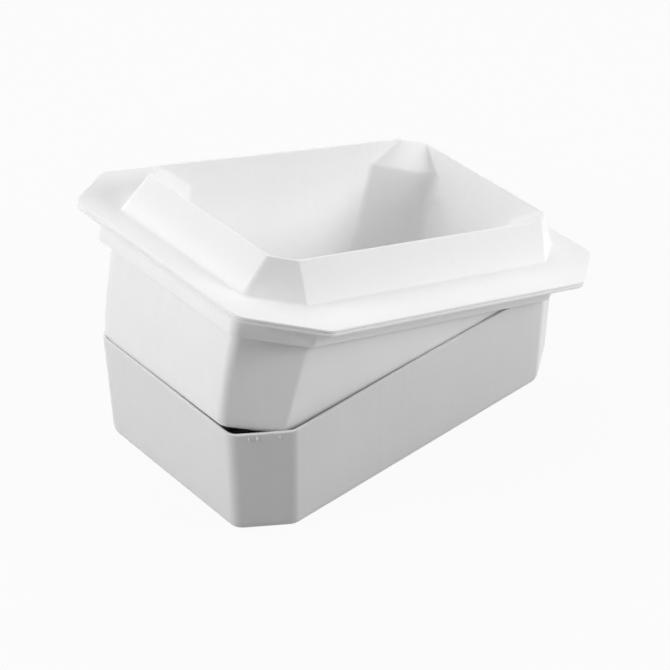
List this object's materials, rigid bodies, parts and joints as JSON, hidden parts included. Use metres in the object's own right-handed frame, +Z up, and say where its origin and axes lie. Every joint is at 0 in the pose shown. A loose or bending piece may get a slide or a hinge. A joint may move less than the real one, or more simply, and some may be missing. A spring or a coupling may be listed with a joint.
{
  "type": "soap loaf mould",
  "caption": "Nested white soap loaf mould: octagonal open case, skirted tub propped in it at a slant, and a pouring liner with a wide flange and a raised ridge around its cavity.",
  "frame": {"origin": "middle of the outer case's flat underside", "axes": "+Z up; +X along the length, towards the low end of the propped tub; +Y to the back"},
  "size_m": [0.2168, 0.1574, 0.1361],
  "materials": {
    "case_plastic": "satin moulded white",
    "tub_plastic": "satin moulded white",
    "liner_plastic": "matte moulded white"
  },
  "bodies": {
    "case": {"outer_case": "case_plastic"},
    "tub": {"mould_tub": "tub_plastic"},
    "liner": {"pouring_liner": "liner_plastic"}
  },
  "joints": [
    {"name": "tub_lift", "type": "slide", "parent": "case", "child": "tub", "axis": [0, 0, 1], "range_m": [0, 0.09]},
    {"name": "liner_lift", "type": "slide", "parent": "tub", "child": "liner", "axis": [0.3116, 0, 0.9502], "range_m": [0, 0.08]}
  ]
}
